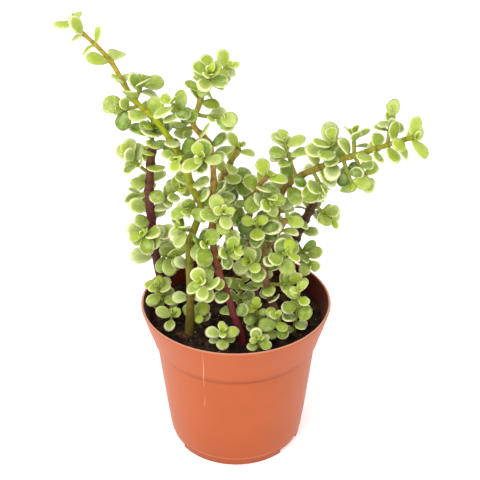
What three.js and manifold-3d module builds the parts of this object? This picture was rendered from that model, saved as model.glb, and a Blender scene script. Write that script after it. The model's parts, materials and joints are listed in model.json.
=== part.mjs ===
// Potted elephant bush: leafy Portulacaria cuttings rooted together in a 10.5 cm plastic nursery pot.
// Millimetres, +Z up, origin at the middle of the pot's foot. -Y is the front and +X is the right.
import * as THREE from "three";
import { mergeVertices } from "three/addons/utils/BufferGeometryUtils.js";
import Module from "manifold-3d";

const wasm = await Module();
wasm.setup();

// ---- driving dimensions ----------------------------------------------------------------------------
const GAP = 0.3; // clearance between touching pieces
const SLIVER = 0.03; // edges shorter than this, left by joins and cuts, are merged away
const RIM_RADIUS = 52.5;
const POT_HEIGHT = 88;
const WALL = 1.2; // plastic thickness
const FOOT_RADIUS = 38;
const FLOOR = 4; // height of the floor's underside above the foot
const STEP_BOTTOM = 63.5; // the collar starts at this height
const STEP_TOP = 68;
const WALL_TOP_RADIUS = 44.9; // outside of the wall just under the step
const COLLAR_RADIUS = 46.9; // outside of the collar just above the step
const POT_SIDES = 32;
const DRAIN_RADIUS = 4;
const DRAIN_CIRCLE = 23;
const DRAIN_COUNT = 6;
const NOTCH_ANGLES = [55, 175, 295]; // foot notches, in degrees from the front towards +X
const NOTCH_WIDTH = 17;
const SOIL_HEIGHT = 77.5;
const SOIL_EDGE = 76.6;

const STEM_SIDES = 7;
const TWIG_SIDES = 5;
const STEM_STEP = 9; // length of one straight stretch of a stem
const TWIG_STEPS = 3;
const TWIG_RADIUS = 1.1;
const TWIG_TIP_RADIUS = 0.6;
const LEAF_WIDTH = 0.86; // share of the leaf's length
const LEAF_THICKNESS = 0.12; // share of the leaf's length
const LEAF_SIDES = 5;
const LIGHT_BEND = 0.42; // how far a leaf swings to lie square to the light

// ---- the plant -------------------------------------------------------------------------------------
// Each cutting: the stem's route from its buried end upwards, its radius at both ends, the leaf pairs
// that sit on the stem itself as [share of its length, leaf length, turn], and its side shoots as
// [share of its length, reach as dx, dy, dz, number of leaf pairs, leaf length, turn in degrees].
const CUTTINGS = {
  left: {
    radii: [2.5, 2.1],
    route: [[-37, 13, 60], [-40, 14, 80], [-44, 14, 101], [-46, 12, 133], [-46, 11, 150], [-44, 9, 167],
      [-43, 8, 175]],
    pairs: [[0.42, 13, 85], [0.5, 11, 30], [0.56, 12, 0], [0.62, 11, 80], [0.67, 12, 20], [0.77, 11.5, 75],
      [0.81, 11, 0], [0.91, 12, 60], [0.975, 11, 20]],
    shoots: [[0.98, 1, 0, 14, 5, 12.8, 10], [0.86, -10, -4, 13, 5, 10.7, 40],
      [0.74, -8, 10, -2, 4, 10.7, 70], [0.72, 17, -5, 10, 5, 9.6, 15], [0.56, -4, -10, 3, 5, 12.8, 30],
      [0.43, 11, -4, 0, 5, 11.8, 30]],
  },
  arching: {
    radii: [2.1, 0.9],
    route: [[-26, -21, 58], [-25, -20, 80], [-24, -17, 105], [-24, -12, 128], [-18, -6, 147],
      [-22, -3, 156], [-27, 0, 171], [-38, 6, 187], [-52, 14, 199], [-64, 24, 216], [-78, 31, 228],
      [-83, 34, 233]],
    pairs: [[0.2, 9, 20], [0.29, 9, 60], [0.34, 10, 0], [0.42, 11, 10], [0.46, 11, 80], [0.5, 12, 60],
      [0.55, 11, 10], [0.58, 12, 60], [0.62, 12, 30], [0.68, 13, 80], [0.71, 13, 10], [0.755, 11, 60],
      [0.8, 11, 50], [0.865, 12, 0], [0.92, 11, 80], [0.955, 12, 50], [0.99, 10, 0]],
    shoots: [[0.735, -10, -6, 0, 4, 11.8, 20], [0.75, 4, 5, 10, 5, 12.8, 45],
      [0.58, -1, -12, 3, 5, 12.5, 80], [0.47, -4, -11, -4, 4, 10.7, 0], [0.38, -7, -8, 6, 4, 11.8, 30],
      [0.36, 8, -10, 2, 4, 11.8, 60]],
  },
  centre: {
    radii: [1.9, 1.2],
    route: [[5, -29, 58], [3, -28, 80], [-3, -25, 101], [-9, -20, 118], [-12, -14, 136], [-11, -7, 160],
      [-13, 0, 179], [-21, 3, 189], [-18, 5, 199], [-14, 7, 211], [-11, 8, 216]],
    pairs: [[0.22, 9, 80], [0.3, 10, 30], [0.37, 10, 0], [0.42, 10, 60], [0.46, 11, 70], [0.5, 11, 0],
      [0.57, 12, 20], [0.6, 11, 80], [0.64, 12, 0], [0.71, 13, 0], [0.75, 11, 80], [0.79, 11, 70],
      [0.845, 11, 10], [0.9, 11, 20], [0.93, 10, 90], [0.96, 10, 30], [0.99, 9, 60]],
    shoots: [[0.97, 10, 6, 4, 5, 10.7, 0], [0.94, 3, -8, 10, 5, 11, 50], [0.83, -10, -6, 13, 5, 11.8, 10],
      [0.86, 14, -6, 1, 5, 11.2, 75], [0.82, -12, 11, -4, 4, 11.8, 40], [0.7, -5, -11, 7, 4, 12.8, 20],
      [0.52, 6, -11, 11, 5, 10.7, 0], [0.41, 10, -8, 10, 5, 10.7, 55], [0.32, -11, -11, 8, 5, 10.7, 30]],
  },
  back: {
    radii: [2.2, 1.3],
    route: [[3, 30, 58], [2, 29, 80], [-2, 26, 110], [-7, 24, 134], [-9, 22, 144], [-5, 19, 157],
      [2, 15, 172]],
    pairs: [[0.3, 10, 0], [0.38, 10, 70], [0.46, 11, 10], [0.54, 11, 80], [0.61, 11, 20], [0.69, 12, 80],
      [0.76, 11, 10], [0.83, 11, 70], [0.9, 11, 20], [0.98, 10, 80]],
    shoots: [[0.75, 13, -5, 7, 5, 10.7, 30], [0.64, 13, -7, 5, 5, 11.8, 60], [0.46, 11, -5, 8, 4, 9.6, 0],
      [0.57, -11, 12, 10, 5, 11.8, 45]],
  },
  right: {
    radii: [2.1, 1],
    route: [[17, 25, 58], [18, 24, 80], [21, 21, 110], [23, 16, 138], [29, 12, 153], [47, 4, 167],
      [65, -8, 179], [79, -16, 188], [85, -21, 192]],
    pairs: [[0.28, 10, 20], [0.36, 11, 70], [0.43, 11, 0], [0.49, 12, 70], [0.55, 12, 60], [0.61, 11, 0],
      [0.67, 12, 80], [0.73, 12, 30], [0.785, 11, 80], [0.84, 11, 0], [0.87, 10, 30], [0.91, 11, 60],
      [0.935, 11, 80], [0.965, 11.5, 0], [0.99, 11, 70]],
    shoots: [[0.59, -7, 5, 19, 5, 11.8, 20], [0.69, 3, -4, 15, 5, 13.9, 70],
      [0.65, 5, -11, -6, 4, 13.9, 35], [0.76, 5, -5, -12, 5, 11.8, 10], [0.8, 9, 4, -15, 4, 9.6, 60],
      [0.8, 0, 7, 9, 4, 9.6, 0], [0.91, 2, 4, 15, 5, 9.6, 40], [0.42, -7, 12, 10, 5, 10.7, 15]],
  },
  stub: {
    radii: [2.4, 2.2],
    route: [[25, 28, 62], [29, 29, 80], [34, 26, 110], [39, 23, 126], [44, 21, 138]],
    pairs: [[0.45, 10, 10], [0.55, 11, 60], [0.64, 10, 20], [0.73, 11, 80], [0.82, 10, 10],
      [0.9, 10.5, 70]],
    shoots: [[0.97, 10, -3, -8, 5, 10.2, 20], [0.62, 8, -12, -8, 5, 10.7, 50],
      [0.82, 6, 11, 8, 5, 10.7, 0]],
  },
  forked: {
    radii: [1.9, 1.5],
    route: [[24, -11, 60], [23, -10, 80], [17, -8, 100], [15, -4, 118], [20, -1, 126], [27, 2, 137]],
    pairs: [[0.4, 9.5, 40], [0.5, 10, 80], [0.6, 11, 0], [0.68, 11, 60], [0.76, 11, 0], [0.84, 12, 70],
      [0.91, 11, 40], [0.98, 10, 20]],
    shoots: [[0.77, -6, -5, 17, 5, 11.8, 40], [0.7, 12, -10, 8, 4, 12.8, 0],
      [0.66, -8, -10, 6, 4, 11.8, 65], [0.52, 16, -2, 2, 5, 10.7, 20]],
  },
  slim: {
    radii: [1.7, 1.1],
    route: [[12, 17, 58], [11, 15, 80], [9, 12, 105], [7, 9, 130], [11, 4, 152], [17, 2, 162]],
    pairs: [[0.36, 10, 0], [0.43, 10, 80], [0.5, 11, 30], [0.57, 11, 80], [0.65, 11, 10], [0.73, 12, 70],
      [0.8, 11, 0], [0.87, 11, 80], [0.92, 12, 20], [0.98, 11, 70]],
    shoots: [[0.86, 8, -10, 2, 4, 12.8, 30]],
  },
};

// Young cuttings with no woody stem: where they leave the soil, their reach above it as dx, dy, dz,
// number of leaf pairs, leaf length, turn in degrees.
const YOUNG = [
  [-36, 5, -7, -6, 19, 6, 11, 20],
  [-19, -12, -4, -5, 10, 4, 10, 60],
  [-7, -31, 0, -4, 12, 4, 9, 0],
  [12, -36, 0, -2, 9, 3, 8, 40],
  [31, -20, 2, -5, 31, 7, 10.5, 10],
  [24, -22, -2, -6, 17, 5, 10, 50],
  [12, -18, -1, -2, 17, 5, 10.5, 80],
  [1, 0, 3, -2, 26, 6, 10, 30],
  [-37, -11, 3, -2, 9, 3, 9.5, 30],
];
const YOUNG_DEPTH = 10; // how far a young cutting's stem goes down into the soil

// ---- materials -------------------------------------------------------------------------------------
const finish = (color, roughness) => new THREE.MeshStandardMaterial({ color, roughness, metalness: 0 });
const POT_PLASTIC = finish(0xd97b4c, 0.45);
const SOIL_MIX = finish(0x1f1410, 1);
const BARK = finish(0x7a4a33, 0.7);
const LEAF = finish(0x93b455, 0.4);

// ---- solids ----------------------------------------------------------------------------------------
// A closed three.js geometry as a solid that can be joined and cut.
function solidOf(geometry) {
  const bare = geometry.clone();
  bare.deleteAttribute("normal");
  bare.deleteAttribute("uv");
  const merged = mergeVertices(bare, 1e-4);
  return new wasm.Manifold(
    new wasm.Mesh({
      numProp: 3,
      vertProperties: merged.attributes.position.array,
      triVerts: new Uint32Array(merged.index.array),
    }),
  );
}

function meshOf(name, solid, material) {
  const { numProp, vertProperties, triVerts } = solid.simplify(SLIVER).getMesh();
  const positions = new Float32Array((vertProperties.length / numProp) * 3);
  for (let i = 0; i < positions.length / 3; i++)
    positions.set(vertProperties.subarray(i * numProp, i * numProp + 3), i * 3);
  const geometry = new THREE.BufferGeometry();
  geometry.setAttribute("position", new THREE.BufferAttribute(positions, 3));
  geometry.setIndex(new THREE.BufferAttribute(triVerts, 1));
  geometry.computeVertexNormals();
  const mesh = new THREE.Mesh(geometry, material);
  mesh.name = name;
  return mesh;
}

// A profile of [radius, height] points turned about Z.
function turned(profile, sides) {
  const points = profile.map(([r, z]) => new THREE.Vector2(r, z));
  return new THREE.LatheGeometry(points, sides).rotateX(Math.PI / 2);
}

// A tube of `sides` flats along a curve, with its radius given by the share of the way along.
function tube(curve, steps, sides, radiusAt) {
  const section = new THREE.Shape();
  for (let i = 0; i <= sides; i++) {
    const angle = (i / sides) * 2 * Math.PI;
    section[i ? "lineTo" : "moveTo"](Math.cos(angle), Math.sin(angle));
  }
  const geometry = new THREE.ExtrudeGeometry(section, { steps, bevelEnabled: false, extrudePath: curve });
  const centres = curve.getSpacedPoints(steps);
  const position = geometry.attributes.position;
  const point = new THREE.Vector3();
  for (let i = 0; i < position.count; i++) {
    point.fromBufferAttribute(position, i);
    const away = centres.map((c) => Math.abs(c.distanceTo(point) - 1));
    const ring = away.indexOf(Math.min(...away));
    point.sub(centres[ring]).multiplyScalar(radiusAt(ring / steps)).add(centres[ring]);
    position.setXYZ(i, point.x, point.y, point.z);
  }
  return solidOf(geometry);
}

// ---- where stems, twigs and leaves lie -------------------------------------------------------------
const Z = new THREE.Vector3(0, 0, 1);
const vec = (p) => new THREE.Vector3(...p);
const radians = (degrees) => (degrees * Math.PI) / 180;

// A repeatable number between -1 and 1 for each leaf.
function jitter(a, b) {
  const s = Math.sin(a * 12.9898 + b * 78.233) * 43758.5453;
  return 2 * (s - Math.floor(s)) - 1;
}

const stemRadius = (radii) => (share) => radii[0] + (radii[1] - radii[0]) * share ** 2;
const twigRadius = (share) => TWIG_RADIUS + (TWIG_TIP_RADIUS - TWIG_RADIUS) * share;

function direction(curve, share) {
  const ahead = curve.getPointAt(Math.min(share + 0.01, 1));
  return ahead.sub(curve.getPointAt(Math.max(share - 0.01, 0))).normalize();
}

// A twig leaves along its reach and turns upwards a little on the way.
function twigCurve(start, reach) {
  const middle = reach.clone().multiplyScalar(0.5);
  middle.z -= 0.12 * reach.length();
  return new THREE.QuadraticBezierCurve3(start, middle.add(start), reach.clone().add(start));
}

const carriers = []; // every stem and twig: its curve, its radius rule and its leaf pairs

function addCarrier(name, curve, radiusAt, pairs, parent) {
  const steps = Math.ceil(curve.getLength() / 1.5);
  const beads = curve.getSpacedPoints(steps).map((centre, i) => ({ centre, radius: radiusAt(i / steps) }));
  carriers.push({ name, curve, radiusAt, pairs, parent, beads, leaves: [] });
  return carriers.at(-1);
}

// Leaf pairs along a shoot, each turned a quarter from the last and smaller towards the tip.
function shootPairs(count, length, turn, first) {
  return Array.from({ length: count }, (_, k) => {
    const share = count > 1 ? first + ((0.99 - first) * k) / (count - 1) : 0.9;
    const size = k === count - 1 ? 0.62 : 1 - 0.1 * Math.abs(k - 0.4 * count);
    return [share, length * size, turn + 90 * k];
  });
}

for (const [name, { radii, route, pairs, shoots }] of Object.entries(CUTTINGS)) {
  const curve = new THREE.CatmullRomCurve3(route.map(vec), false, "catmullrom", 0.5);
  const stem = addCarrier(`${name}_stem`, curve, stemRadius(radii), pairs, null);
  shoots.forEach(([share, dx, dy, dz, count, length, turn], i) => {
    const twig = twigCurve(curve.getPointAt(share), vec([dx, dy, dz]));
    addCarrier(`${name}_shoot_${i + 1}`, twig, twigRadius, shootPairs(count, length, turn, 0.45), stem);
  });
}
YOUNG.forEach(([x, y, dx, dy, dz, count, length, turn], i) => {
  const reach = vec([dx, dy, dz]);
  const buried = reach.clone().multiplyScalar(YOUNG_DEPTH / dz);
  const twig = twigCurve(vec([x, y, SOIL_HEIGHT]).sub(buried), reach.add(buried));
  const clear = (YOUNG_DEPTH + 5) / (YOUNG_DEPTH + dz);
  addCarrier(`young_cutting_${i + 1}`, twig, twigRadius, shootPairs(count, length, turn, clear), null);
});

// Where the upper faces of a carrier's leaves turn: upwards, to the side it grows to, and to its tip.
function lightOn(carrier, axis) {
  const back = carrier.parent && carrier.curve.getPointAt(1).y > carrier.curve.getPointAt(0).y + 6;
  return new THREE.Vector3(0, back ? 0.7 : -0.75, 0.8).addScaledVector(axis, 0.45).normalize();
}

// A leaf's frame: `along` from the base to the tip, `up` out of its upper face, `across` to its side.
function leafFrame(carrier, share, length, azimuth, spread, roll) {
  const origin = carrier.curve.getPointAt(share);
  const axis = direction(carrier.curve, share);
  const light = lightOn(carrier, axis);
  const u = axis.clone().cross(Z).normalize();
  const v = axis.clone().cross(u);
  const out = u.multiplyScalar(Math.cos(azimuth)).addScaledVector(v, Math.sin(azimuth));
  const along = axis.clone().multiplyScalar(Math.cos(spread)).addScaledVector(out, Math.sin(spread));
  along.addScaledVector(light, -LIGHT_BEND * along.dot(light)).normalize();
  const flat = light.addScaledVector(along, -light.dot(along)).normalize();
  const side = along.clone().cross(flat);
  const up = flat.multiplyScalar(Math.cos(roll)).addScaledVector(side, Math.sin(roll));
  const across = up.clone().cross(along);
  origin.addScaledVector(out, 0.3 * carrier.radiusAt(share));
  return { carrier, origin, along, across, up, length };
}

// Half the leaf's width at a share of its length: an egg shape, wider beyond the middle.
function halfWidth(share, length) {
  const round = Math.sqrt(Math.max(0, 1 - (2 * share - 1) ** 2));
  return 0.5 * LEAF_WIDTH * length * round * (0.72 + 0.42 * share);
}

// Points spread over a leaf, from `first` of its length to its tip.
function leafPoints(leaf, first) {
  const points = [];
  for (let share = first; share < 1; share += 0.13)
    for (let side = -1; side <= 1; side += 0.5)
      points.push(
        leaf.origin
          .clone()
          .addScaledVector(leaf.along, share * leaf.length)
          .addScaledVector(leaf.across, side * halfWidth(share, leaf.length)),
      );
  return points;
}

// Whether a ball touches the leaf beyond `first` of its length.
function ballTouches(leaf, point, radius, first) {
  const offset = point.clone().sub(leaf.origin);
  const share = offset.dot(leaf.along) / leaf.length;
  const margin = radius / leaf.length;
  if (share < first || share > 1 + margin) return false;
  if (Math.abs(offset.dot(leaf.up)) > radius) return false;
  return Math.abs(offset.dot(leaf.across)) < halfWidth(Math.min(share, 0.9), leaf.length) + radius;
}

const LEAF_CLEARANCE = 1.4; // between the middle planes of two leaves
const STEM_CLEARANCE = 0.95; // between a leaf's middle plane and a stem's surface
const SOIL_CLEARANCE = 2; // under a leaf
const RIM_CLEARANCE = 3; // between a leaf and the pot's wall or rim

function blocked(leaf, placed) {
  const middle = leaf.origin.clone().addScaledVector(leaf.along, leaf.length / 2);
  const points = leafPoints(leaf, 0.2);
  const low = POT_HEIGHT + RIM_CLEARANCE;
  for (const p of points) {
    const radial = Math.hypot(p.x, p.y);
    if (p.z < SOIL_HEIGHT + SOIL_CLEARANCE && radial < RIM_RADIUS) return true;
    const wall = RIM_RADIUS - (POT_HEIGHT - p.z) * 0.25;
    if (p.z < low && radial > wall - RIM_CLEARANCE) return true;
  }
  for (const carrier of carriers) {
    if (carrier === leaf.carrier) continue;
    const first = carrier === leaf.carrier.parent ? 0.12 : 0;
    for (const { centre, radius } of carrier.beads) {
      if (centre.distanceTo(middle) > leaf.length) continue;
      if (ballTouches(leaf, centre, radius + STEM_CLEARANCE, first)) return true;
    }
  }
  for (const other of placed) {
    if (other.middle.distanceTo(middle) > 0.5 * (leaf.length + other.length) + LEAF_CLEARANCE) continue;
    const first = other.carrier === leaf.carrier ? 0.34 : 0;
    const tests = [[leaf, other.points], [other, points]];
    for (const [blade, cloud] of tests)
      for (const p of cloud) {
        if (first && p.distanceTo(other.origin) < 0.34 * other.length) continue;
        if (ballTouches(blade, p, LEAF_CLEARANCE, first)) return true;
      }
  }
  return false;
}

// A leaf tries its own place first, then turns and tilts until it finds room, then does so smaller.
const TURNS = [[0, 0], [12, 0], [-12, 0], [0, 16], [0, -16], [20, 12], [-20, -12], [26, -18], [-26, 18],
  [36, 0], [-36, 0], [40, 24], [-40, -24], [14, 30], [14, -30], [-18, 34], [-18, -34]];
const SIZES = [1, 0.8, 0.62];

function findRoom(carrier, pair, side, placed, index) {
  const [share, length, turn] = carrier.pairs[pair];
  const last = pair === carrier.pairs.length - 1;
  const spread = (last ? 42 : 66) + 15 * jitter(index, 1);
  const azimuth = turn + 180 * side + 12 * jitter(index, 2);
  const roll = 24 * jitter(index, 3);
  const full = length * (1 + 0.1 * jitter(index, 4));
  for (const size of SIZES)
    for (const [tilt, yaw] of TURNS) {
      const angles = [azimuth + yaw, spread + tilt, roll].map(radians);
      const leaf = leafFrame(carrier, share, full * size, ...angles);
      if (!blocked(leaf, placed)) return leaf;
    }
  return null;
}

const leaves = [];
let leafIndex = 0;
for (const carrier of carriers)
  carrier.pairs.forEach((_, pair) => {
    for (const side of [0, 1]) {
      leafIndex += 1;
      const leaf = findRoom(carrier, pair, side, leaves, leafIndex);
      if (!leaf) continue;
      leaf.middle = leaf.origin.clone().addScaledVector(leaf.along, leaf.length / 2);
      leaf.points = leafPoints(leaf, 0.1);
      leaves.push(leaf);
      carrier.leaves.push(leaf);
    }
  });

// ---- pieces ----------------------------------------------------------------------------------------
// A fleshy leaf: a flat-sided lens with an egg-shaped outline.
function leafSolid({ origin, along, across, up, length }) {
  const geometry = new THREE.SphereGeometry(1, LEAF_SIDES, 2);
  const position = geometry.attributes.position;
  for (let i = 0; i < position.count; i++) {
    const share = (1 + position.getX(i)) / 2;
    const rim = Math.sign(Math.round(position.getZ(i) * 100)) * halfWidth(share, length);
    const height = 0.5 * LEAF_THICKNESS * length * position.getY(i);
    position.setXYZ(i, share * length, -rim, height);
  }
  geometry.applyMatrix4(new THREE.Matrix4().makeBasis(along, across, up).setPosition(origin));
  return solidOf(geometry);
}

function carrierTube(carrier, extra) {
  const woody = carrier.name.endsWith("stem");
  const steps = woody ? Math.ceil(carrier.curve.getLength() / STEM_STEP) : TWIG_STEPS;
  return tube(carrier.curve, steps, woody ? STEM_SIDES : TWIG_SIDES, (s) => carrier.radiusAt(s) + extra);
}

function plantPiece(carrier) {
  let solid = carrierTube(carrier, 0);
  for (const leaf of carrier.leaves) solid = solid.add(leafSolid(leaf));
  if (carrier.parent) solid = solid.subtract(carrierTube(carrier.parent, GAP));
  const material = carrier.name.endsWith("stem") ? BARK : LEAF;
  return meshOf(carrier.name, solid, material);
}

// The inside of the pot: its radius at each height.
const INSIDE = [
  [FOOT_RADIUS - 0.6, FLOOR + WALL],
  [WALL_TOP_RADIUS - WALL, STEP_BOTTOM + 0.6],
  [COLLAR_RADIUS - WALL, STEP_TOP + 0.4],
  [RIM_RADIUS - 1.5, POT_HEIGHT - 0.8],
];

function pot() {
  const profile = [
    [0, FLOOR],
    [FOOT_RADIUS - 1.8, FLOOR],
    [FOOT_RADIUS - 1.4, 0],
    [FOOT_RADIUS, 0],
    [FOOT_RADIUS + 0.3, 4.7],
    [FOOT_RADIUS + 0.9, 5.2],
    [WALL_TOP_RADIUS, STEP_BOTTOM],
    [WALL_TOP_RADIUS + 1.3, STEP_BOTTOM + 2.2],
    [COLLAR_RADIUS, STEP_TOP],
    [RIM_RADIUS - 0.2, POT_HEIGHT - 1.2],
    [RIM_RADIUS, POT_HEIGHT - 0.5],
    [RIM_RADIUS - 0.5, POT_HEIGHT],
    [RIM_RADIUS - 1.2, POT_HEIGHT],
    ...INSIDE.toReversed(),
    [0, FLOOR + WALL],
  ];
  let solid = solidOf(turned(profile, POT_SIDES));
  const drain = new THREE.CylinderGeometry(DRAIN_RADIUS, DRAIN_RADIUS, 4 * WALL, 12).rotateX(Math.PI / 2);
  const centres = [[0, 0]];
  for (let i = 0; i < DRAIN_COUNT; i++) {
    const angle = (i / DRAIN_COUNT) * 2 * Math.PI;
    centres.push([DRAIN_CIRCLE * Math.cos(angle), DRAIN_CIRCLE * Math.sin(angle)]);
  }
  for (const [x, y] of centres) solid = solid.subtract(solidOf(drain.clone().translate(x, y, FLOOR)));
  for (const angle of NOTCH_ANGLES) {
    const notch = new THREE.BoxGeometry(NOTCH_WIDTH, 8, FLOOR - 1).translate(0, -FOOT_RADIUS, FLOOR / 2 - 1);
    solid = solid.subtract(solidOf(notch.rotateZ(radians(angle))));
  }
  return meshOf("nursery_pot", solid, POT_PLASTIC);
}

// The top of the soil: a few low swells, a little lower at the wall.
function soilTop(x, y) {
  const swell = 0.9 * Math.sin(x / 9 + 0.4) * Math.cos(y / 11) + 0.5 * Math.sin(x / 4.1 + y / 5.3);
  return SOIL_HEIGHT + swell;
}

function soil() {
  const inner = INSIDE.slice(0, 3).map(([r, z], i) => [r - GAP, i ? z : z + GAP]);
  const slope = (INSIDE[3][0] - INSIDE[2][0]) / (INSIDE[3][1] - INSIDE[2][1]);
  const edge = INSIDE[2][0] - GAP + slope * (SOIL_EDGE - INSIDE[2][1]);
  const rings = [40, 30, 20, 10].map((r) => [r, SOIL_HEIGHT]);
  const profile = [[0, inner[0][1]], ...inner, [edge - 0.1, SOIL_EDGE], ...rings, [0, SOIL_HEIGHT]];
  const geometry = turned(profile, POT_SIDES / 2);
  const position = geometry.attributes.position;
  for (let i = 0; i < position.count; i++)
    if (position.getZ(i) > SOIL_HEIGHT - 0.01)
      position.setZ(i, soilTop(position.getX(i), position.getY(i)));
  let solid = solidOf(geometry);
  for (const carrier of carriers.filter((c) => !c.parent)) solid = solid.subtract(carrierTube(carrier, GAP));
  return meshOf("potting_soil", solid, SOIL_MIX);
}

const plant = new THREE.Group();
plant.name = "plant";
plant.add(...carriers.map(plantPiece));

const pottedBush = new THREE.Group();
pottedBush.name = "potted_elephant_bush";
pottedBush.add(pot(), soil(), plant);

export default pottedBush;
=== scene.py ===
# %% [markdown]
# # A potted elephant bush
# A young variegated elephant bush grows from several cuttings in one small plastic nursery pot. The packed
# model already says where every stem, twig and leaf is. This lesson rebuilds the same plant in finer form, in
# the same place, and gives each piece its real surface. Everything is in metres, +Z up, with the front
# towards -Y.

import json
import math

import bpy
import numpy as np
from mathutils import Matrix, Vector

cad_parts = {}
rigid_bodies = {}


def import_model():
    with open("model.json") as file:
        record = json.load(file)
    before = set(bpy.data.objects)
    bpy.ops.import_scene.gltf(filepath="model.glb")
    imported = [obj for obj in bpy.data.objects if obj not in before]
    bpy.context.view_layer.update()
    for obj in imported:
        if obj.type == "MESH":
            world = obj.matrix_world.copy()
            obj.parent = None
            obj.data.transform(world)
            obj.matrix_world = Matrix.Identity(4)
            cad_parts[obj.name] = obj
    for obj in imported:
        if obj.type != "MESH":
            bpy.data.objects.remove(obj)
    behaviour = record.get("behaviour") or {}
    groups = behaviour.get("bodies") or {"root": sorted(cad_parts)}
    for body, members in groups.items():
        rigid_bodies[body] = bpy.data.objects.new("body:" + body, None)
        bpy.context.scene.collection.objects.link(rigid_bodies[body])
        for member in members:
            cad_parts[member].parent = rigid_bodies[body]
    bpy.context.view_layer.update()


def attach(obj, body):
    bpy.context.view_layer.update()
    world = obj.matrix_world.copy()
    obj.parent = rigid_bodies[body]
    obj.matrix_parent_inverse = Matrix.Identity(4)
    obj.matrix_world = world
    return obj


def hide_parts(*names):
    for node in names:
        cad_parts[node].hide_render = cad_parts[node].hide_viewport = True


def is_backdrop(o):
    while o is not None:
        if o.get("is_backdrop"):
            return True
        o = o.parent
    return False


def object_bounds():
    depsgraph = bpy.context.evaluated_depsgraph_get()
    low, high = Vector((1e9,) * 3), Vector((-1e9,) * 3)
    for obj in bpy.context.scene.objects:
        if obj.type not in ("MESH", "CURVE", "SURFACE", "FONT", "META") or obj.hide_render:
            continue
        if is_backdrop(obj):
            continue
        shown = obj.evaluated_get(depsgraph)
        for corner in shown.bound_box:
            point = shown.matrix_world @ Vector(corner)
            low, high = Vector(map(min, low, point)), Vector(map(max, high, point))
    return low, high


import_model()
MM = 0.001
rng = np.random.default_rng(7)

# %% [markdown]
# ## Small tools
# Each shape below is worked out with numpy as whole arrays: points, the faces that join them, and a few
# numbers carried by each point. A dictionary holds one such part. `merge` puts several parts into one, and
# `build` turns a part into a Blender mesh whose object stays at the origin, so that its place is in its mesh.


# %% Parts and meshes
def merge(parts):
    """One part from several: points and carried values are stacked, and each part's faces count on from the
    number of points before it."""
    starts = np.cumsum([0] + [len(p["points"]) for p in parts[:-1]])
    merged = {key: np.concatenate([p[key] for p in parts]) for key in ("points", "uv", "tint", "leaf")}
    merged["faces"] = [(f + s, m) for p, s in zip(parts, starts) for f, m in p["faces"]]
    return merged


def part(points, faces, uv=None, tint=None, leaf=None):
    """A part from its points (n by 3, in mm) and faces, a list of (corner index array, material number).
    tint is a colour for each point and leaf is (tone, youth, shift of the cream margin) for each point."""
    n = len(points)
    return {
        "points": np.asarray(points, float),
        "faces": faces,
        "uv": np.zeros((n, 2)) if uv is None else uv,
        "tint": np.ones((n, 4)) if tint is None else tint,
        "leaf": np.zeros((n, 3)) if leaf is None else leaf,
    }


def build(name, made, materials, smooth=True):
    """A mesh object at the origin from a part in mm. Corners take the uv of their point."""
    faces = [f for block, _ in made["faces"] for f in block.tolist()]
    numbers = np.concatenate([np.full(len(block), m) for block, m in made["faces"]])
    mesh = bpy.data.meshes.new(name)
    mesh.from_pydata((made["points"] * MM).tolist(), [], faces)
    corner = np.zeros(len(mesh.loops), int)
    mesh.loops.foreach_get("vertex_index", corner)
    mesh.uv_layers.new(name="UVMap").data.foreach_set("uv", made["uv"][corner].astype(np.float32).ravel())
    tint = mesh.attributes.new("tint", "FLOAT_COLOR", "POINT")
    tint.data.foreach_set("color", made["tint"].astype(np.float32).ravel())
    leaf = mesh.attributes.new("leaf", "FLOAT_VECTOR", "POINT")
    leaf.data.foreach_set("vector", made["leaf"].astype(np.float32).ravel())
    mesh.polygons.foreach_set("material_index", numbers.astype(np.int32))
    mesh.polygons.foreach_set("use_smooth", np.full(len(faces), smooth))
    for material in materials:
        mesh.materials.append(material)
    mesh.update()
    made_object = bpy.data.objects.new(name, mesh)
    bpy.context.scene.collection.objects.link(made_object)
    return made_object


def grid_faces(rows, columns):
    """Faces of a closed-round grid whose point number is row * columns + column."""
    row, column = np.meshgrid(np.arange(rows - 1), np.arange(columns), indexing="ij")
    here, beside = row * columns + column, row * columns + (column + 1) % columns
    return np.stack([here, beside, beside + columns, here + columns], -1).reshape(-1, 4)


def finish_piece(piece, slot, *nodes):
    """The piece rides with the object and stands for these CAD nodes. The slot is not used."""
    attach(piece, "root")
    if nodes:
        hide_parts(*nodes)
    print(piece.name, len(piece.data.polygons), "faces")


# %% [markdown]
# ## Colours and nodes
# Colours are written as the sRGB values a painter would pick on a screen. Blender computes light with
# linear values, so one function turns them over. One more function adds any shader node, sets what it is
# given and links the sockets it is handed. Two short ones start a material and fill its shader's sockets.


# %% Colours and nodes
def linear(hex_colour):
    """sRGB hex to linear RGBA: each channel c becomes c / 12.92 below 0.04045, else ((c + 0.055) / 1.055) ^ 2.4."""
    c = np.array([int(hex_colour[i : i + 2], 16) / 255 for i in (1, 3, 5)])
    rgb = np.where(c <= 0.04045, c / 12.92, ((c + 0.055) / 1.055) ** 2.4)
    return (*(float(v) for v in rgb), 1.0)


def add(tree, kind, inputs=None, stops=(), **settings):
    """One node: settings go to its properties, and each input gets a value, or a link if it is a socket. A colour
    ramp also gets its (position, hex colour) stops."""
    made = tree.nodes.new("ShaderNode" + kind)
    for key, value in settings.items():
        setattr(made, key, value)
    for key, value in (inputs or {}).items():
        if isinstance(value, bpy.types.NodeSocket):
            tree.links.new(value, made.inputs[key])
        else:
            made.inputs[key].default_value = value
    if stops:
        band = made.color_ramp.elements
        while len(band) < len(stops):
            band.new(0.5)
        for element, (position, colour) in zip(band, stops):
            element.position, element.color = position, linear(colour)
    return made


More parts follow.
